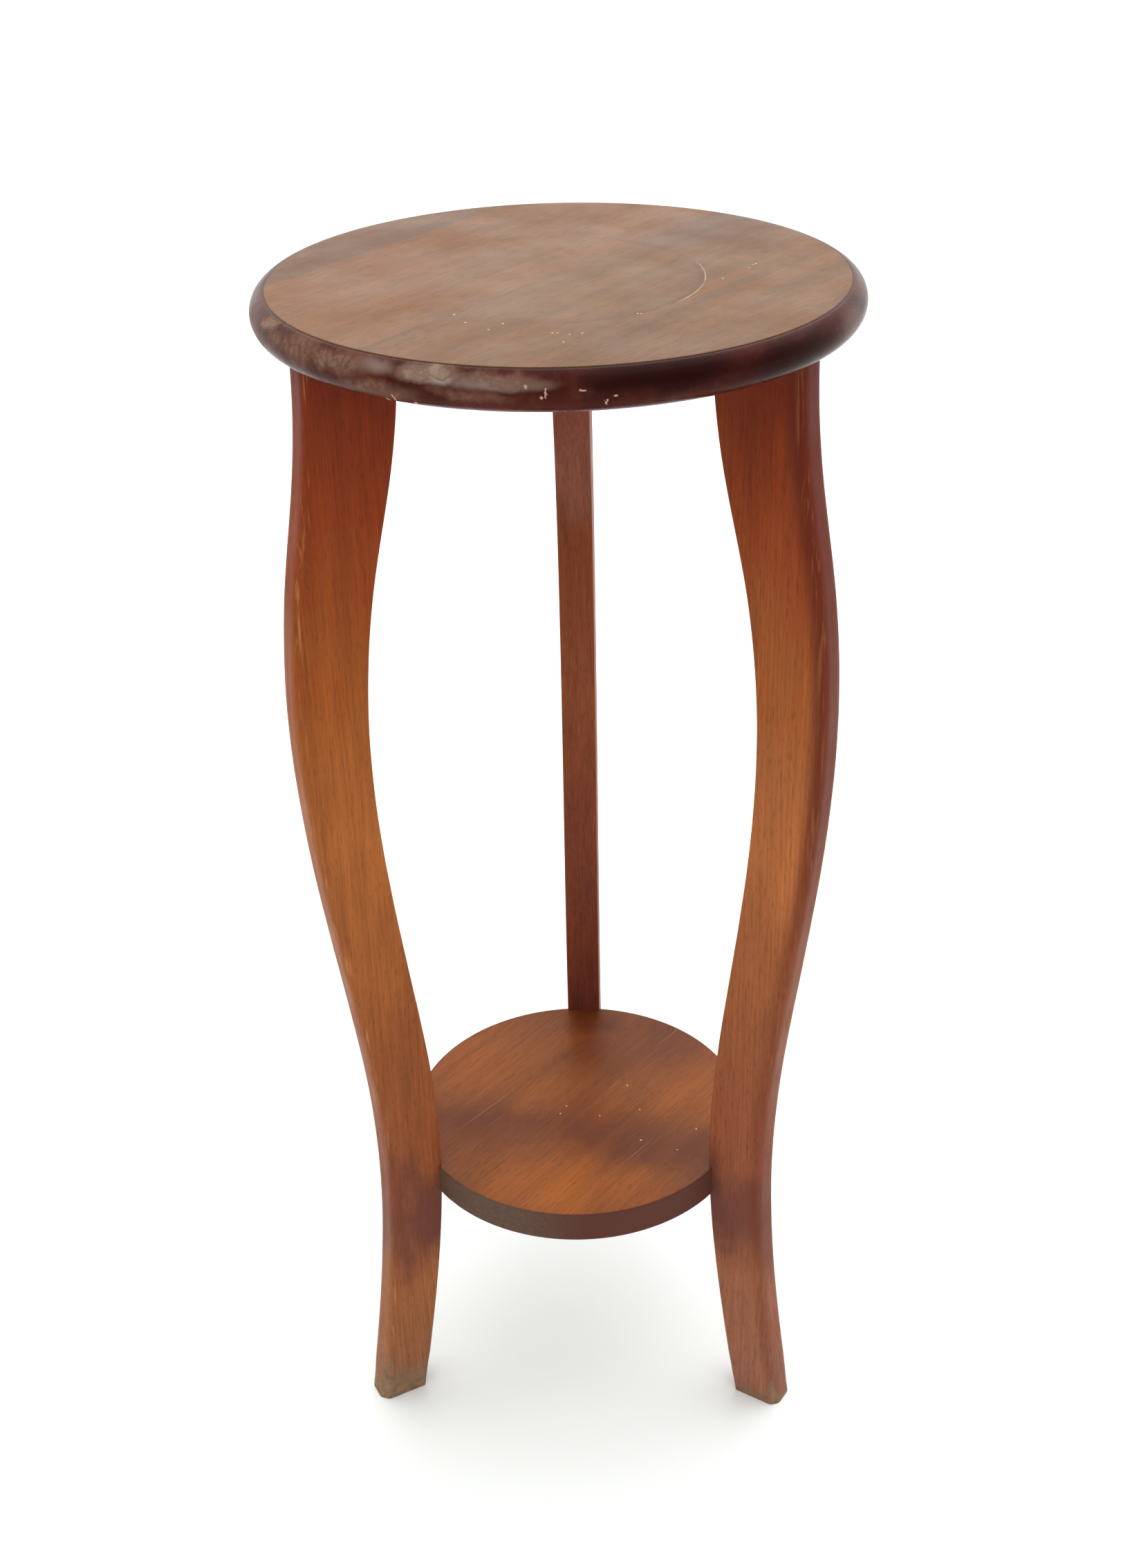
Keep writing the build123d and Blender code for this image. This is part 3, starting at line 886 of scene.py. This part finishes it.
    # small bare chips, each a little upright dash on the rim
    ragged = fromMiddle(add, add("TexNoise", {"Vector": place, "Scale": cells(2.0), "Detail": 2.0}))
    nibbled = add("VectorMath MULTIPLY_ADD", ragged, (0.003, 0.002, 0.0), unrolled)
    chip = rimSpots(add, nibbled, [(*c, 1.0) for c in v["chips"]], 0.6)
    chipped = add("Mix", add("Math MULTIPLY", chip, 0.75), rimColour, v["chipColour"], **coloured)
    # fine dark line where flat and moulding meet
    arrisOff = add("Math ABSOLUTE", add("Math SUBTRACT", fromAxis, flat - 0.35 * mm))
    arris = add("MapRange", arrisOff, 0.2 * mm, 0.7 * mm, 0.55, 0.0, **smooth)
    whole = add("Mix", rimMask, spattered, chipped, **coloured)
    lined = add("Mix", arris, whole, v["arrisLine"], **coloured)
    # underside: stained only
    below = add("Math LESS_THAN", xyz[2], topLow.z + 0.6 * mm)
    colour = add("Mix", add("Math MULTIPLY", below, 0.7), lined, add("VectorMath SCALE", stain, 0.55),
                 **coloured)

    smear = add("TexNoise", {"Vector": place, "Scale": cells(45.4545), "Detail": 4.0, "Roughness": 0.6})
    satin = add("MapRange", smear, 0.3, 0.7, v["roughness"] - 0.05, v["roughness"] + 0.12)
    rimGloss = add("MapRange", scuffed, 0.0, 0.8, 0.22, 0.62)
    roughness = add("Mix", rimMask, satin, rimGloss)
    roughness = add("Mix", below, roughness, 0.7)
    sway = add("TexNoise", {"Vector": place, "Scale": cells(25.0), "Detail": 1.0})
    relief = add("Math MULTIPLY_ADD", sway, 1.5, figure["relief"])
    tornGrain = add("Math MULTIPLY", add("Math MULTIPLY", scuff, scuffGrain), rimMask)
    relief = add("Math MULTIPLY_ADD", tornGrain, 8.0, relief)
    relief = add("Math MULTIPLY_ADD", chip, -4.0, relief)
    relief = add("Math MULTIPLY_ADD", speckMask, 3.0, relief)
    return varnish(add, material, colour, roughness, relief, {**v, "specular": specular})


shelfWoodValues = {
    "bandWidth": 9.0, "bandShare": 0.35, "mottleShare": 0.3, "fibreShare": 0.5,
    "contrast": 0.28, "poreDark": 0.22, "reliefDepth": 0.05,
    "specular": 0.12, "coat": 0.02, "coatRoughness": 0.2, "roughness": 0.36,
    "boardTints": ["#773f1b", "#743d1a"],
    # darker clouds: toner, painted shade under the top and a painted reflection of the back leg as the band
    # behind
    "patches": [(6, 93, 32, 0.85), (4, 62, 28, 0.55), (12, -25, 44, 0.65), (-30, -14, 44, 0.5),
                (-65, -12, 46, 0.7), (-103, -24, 40, 0.65), (42, -42, 42, 0.65), (78, -46, 36, 0.55),
                (66, 76, 50, 0.5), (22, 50, 36, 0.4)],
    "patchColour": "#512313",
    # painted light: a brighter, warmer crescent along the front, where the top shades the shelf least
    "paintedLightSpots": [(-5, -86, 46, 0.95), (-44, -76, 34, 0.6), (34, -84, 30, 0.6), (-68, 48, 60, 0.6),
              (78, 6, 42, 0.55), (-30, 12, 34, 0.45), (20, -4, 24, 0.2)],
    "paintedLightColour": "#934f16",
    "patchSlimness": 0.85,
    "patchDrift": 0.035,
    "specks": [(33, 21), (42, -5), (43, -37), (67, -46), (80, -25), (15, -12), (-8, -2), (-12, -10)],
    "speckColour": "#dcc2a4",
    "scratch": "#ad7f5a",
    "rim": "#572f27",
    "rimWorn": "#5f4f42",
}


def shelfWood(v):
    # warm stained boards clouded with darker toner and painted shade, a painted reflection of the back leg
    # and painted light at the front, satin top face and a dull sawn rim
    material, add = startMaterial("stainedHardwoodShelf")
    place, xyz, planar, grained = discPlaces(add)
    board = add("Math GREATER_THAN", add("SeparateXYZ", grained).outputs[1], shelfValues["joints"][0] * mm)
    shift = add("CombineXYZ", add("Math MULTIPLY_ADD", board, 0.43, 1.3), 0.0,
                add("Math MULTIPLY", board, 0.17))
    shifted = add("VectorMath ADD", grained, shift)
    figure = woodFigure(add, shifted, 0, v)
    tint = add("Mix", board, v["boardTints"][0], v["boardTints"][1], **coloured)
    stain = add("VectorMath SCALE", tint, figure["brightness"])
    cloud = add("TexNoise", {"Vector": grained, "Scale": cells(50.0), "Detail": 4.0, "Roughness": 0.6})
    # darker clouds of toner and painted shade, the band behind a painted reflection of the back leg
    toned = add("Mix", softSpots(add, grained, cloud, v, "patches"), stain, v["patchColour"], **coloured)
    # painted light: the brighter front crescent
    paintedLightTone = add("VectorMath SCALE", linearColour(v["paintedLightColour"])[:3], figure["brightness"])
    toned = add("Mix", softSpots(add, grained, cloud, v, "paintedLightSpots"), toned, paintedLightTone, **coloured)
    # shallow scratches, 1.4 mm wide and 70 mm long, a few degrees off the grain
    slanted = add("Mapping", {"Vector": place, "Rotation": (0, 0, -boardDirection + 0.06)})
    drawn = add("VectorMath MULTIPLY", slanted, (cells(71.4286), cells(1.42857), 1.0))
    lines = add("TexNoise", {"Vector": drawn, "Scale": 1.0, "Detail": 2.0})
    scratches = add("MapRange", lines, 0.67, 0.76, 0.0, 0.28)
    scratched = add("Mix", scratches, toned, v["scratch"], **coloured)
    spattered = spatter(add, planar, scratched, v)[1]
    fromAxis = add("VectorMath LENGTH", planar)
    rimMask = add("MapRange", fromAxis, shelfRadius - 1.6 * mm, shelfRadius - 0.5 * mm, 0.0, 1.0)
    edgeGrain = add("TexNoise", {"Vector": place, "Scale": cells(3.33333), "Detail": 4.0, "Roughness": 0.7})
    grainWay = (math.cos(boardDirection), math.sin(boardDirection), 0.0)
    facing = add("VectorMath DOT_PRODUCT", add("VectorMath NORMALIZE", planar), grainWay)
    endGrain = add("MapRange", add("Math ABSOLUTE", facing), 0.75, 1.0, 0.1, 0.85, **smooth)
    rimWear = add("Math MULTIPLY", endGrain, add("MapRange", edgeGrain, 0.3, 0.65, 0.4, 1.0))
    rimColour = add("Mix", rimWear, v["rim"], v["rimWorn"], **coloured)
    whole = add("Mix", rimMask, spattered, rimColour, **coloured)
    below = add("Math LESS_THAN", xyz[2], shelfLow.z + 0.5 * mm)
    colour = add("Mix", add("Math MULTIPLY", below, 0.8), whole, add("VectorMath SCALE", stain, 0.5),
                 **coloured)

    smear = add("TexNoise", {"Vector": place, "Scale": cells(33.3333), "Detail": 4.0, "Roughness": 0.6})
    satin = add("MapRange", smear, 0.3, 0.7, v["roughness"] - 0.08, v["roughness"] + 0.1)
    roughness = add("Mix", add("Math MAXIMUM", rimMask, below), satin, 0.75)
    sway = add("TexNoise", {"Vector": place, "Scale": cells(22.2222), "Detail": 1.0})
    relief = add("Math MULTIPLY_ADD", sway, 1.5, figure["relief"])
    relief = add("Math MULTIPLY_ADD", add("Math MULTIPLY", rimMask, edgeGrain), 4.0, relief)
    relief = add("Math MULTIPLY_ADD", scratches, -2.0, relief)
    return varnish(add, material, colour, roughness, relief, v)


dowelWoodValues = {"pale": "#d9b68c", "dark": "#c79f74", "roughness": (0.6, 0.75), "reliefDepth": 0.03}


def dowelWood(v):
    # turned beech with no finish, dull and finely flecked; hidden in the joints
    material, add = startMaterial("bareBeechDowel")
    place = add("TexCoord").outputs["Object"]
    rays = add("TexNoise", {"Vector": place, "Scale": cells(1.11111), "Detail": 3.0})
    colour = add("Mix", rays, v["dark"], v["pale"], **coloured)
    bump = add("Bump", {"Height": rays, "Strength": 1.0, "Distance": v["reliefDepth"] * mm})
    dullness = add("MapRange", rays, 0.3, 0.7, *v["roughness"])
    shader = add("BsdfPrincipled", {"Base Color": colour, "Roughness": dullness, "Normal": bump})
    add("OutputMaterial", {"Surface": shader})
    return material


legMaterials = {name: legWood(f"stainedHardwood{name.title()}Leg", finish)
                for name, finish in legFinishes.items()}
topMaterial = topWood(topWoodValues, "stainedHardwoodTop", topWoodValues["specular"])
rimMaterial = topWood(topWoodValues, "darkLacqueredRim", topWoodValues["rimSpecular"])
shelfMaterial = shelfWood(shelfWoodValues)
dowelMaterial = dowelWood(dowelWoodValues)
print("materials made")

makeLegs(legValues, legMaterials)
print("legs made")

turnedDisc = discTree()
makeDisc(turnedDisc, "top", topValues, topProfile(topValues), topRadius, topMaterial, rimMaterial)
makeDisc(turnedDisc, "shelf", shelfValues, shelfProfile(shelfValues), shelfRadius, shelfMaterial)
print("boards made")

for nodeName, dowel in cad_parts.items():
    if nodeName.endswith("dowel"):
        dowel.data.materials.clear()
        dowel.data.materials.append(dowelMaterial)
print("dowels finished")


stageValues = {
    "floorRadius": 30.0,
    "floorDrop": 0.2,                 # millimetres, just clear of the feet
    "floorColour": "#f3f7f9",
    "floorRoughness": 0.9,
    "airColour": "#fdfdf8",
    "airLevels": (0.7, 1.65),         # light from the viewer's side and from behind and above
    "backdropLevel": 1.15,            # as the camera sees it
    "softboxSize": 3.0,
    "softboxPower": 30.0,
    "softboxPlace": (0.5, 0.7, 2.8),
    "softboxAim": (0.0, 0.0, 0.4),
}


def makeStage(v):
    floorMesh = bpy.data.meshes.new("floor")
    solid = bmesh.new()
    bmesh.ops.create_circle(solid, cap_ends=True, segments=96, radius=v["floorRadius"])
    bmesh.ops.translate(solid, verts=solid.verts, vec=(0, 0, -v["floorDrop"] * mm))
    solid.to_mesh(floorMesh)
    solid.free()
    floor = linkObject("floor", floorMesh)
    material = bpy.data.materials.new("paleFloorPaint")
    material.use_nodes = True
    shader = material.node_tree.nodes["Principled BSDF"]
    shader.inputs["Base Color"].default_value = linearColour(v["floorColour"])
    shader.inputs["Roughness"].default_value = v["floorRoughness"]
    floorMesh.materials.append(material)

    world = bpy.data.worlds.new("studio")
    bpy.context.scene.world = world
    world.use_nodes = True
    tree = world.node_tree
    tree.nodes.clear()
    add = nodeAdder(tree)
    direction = add("TexCoord").outputs["Generated"]
    xyz = add("SeparateXYZ", direction).outputs
    # bright behind and above, dim on the viewer's side
    away = add("Math MULTIPLY_ADD", xyz[1], 1.1, add("Math MULTIPLY", xyz[2], 0.6))
    sides = add("Math ABSOLUTE", xyz[0])
    lean = add("Math MULTIPLY_ADD", sides, -0.5, away)
    level = add("MapRange", lean, -0.9, 0.5, *v["airLevels"], **smooth)
    seen = add("LightPath").outputs["Is Camera Ray"]
    shown = add("Mix", seen, level, v["backdropLevel"])
    back = add("Background", {"Color": v["airColour"], "Strength": shown})
    add("OutputWorld", {"Surface": back})

    data = bpy.data.lights.new("overheadSoftbox", "AREA")
    data.shape = "RECTANGLE"
    data.size = data.size_y = v["softboxSize"]
    data.energy = v["softboxPower"]
    light = linkObject("overheadSoftbox", data)
    light.location = v["softboxPlace"]
    light.rotation_mode = "QUATERNION"
    light.rotation_quaternion = (Vector(v["softboxAim"]) - light.location).to_track_quat("-Z", "Y")


makeStage(stageValues)
bpy.context.scene.view_settings.view_transform = "Standard"
print("stage made")
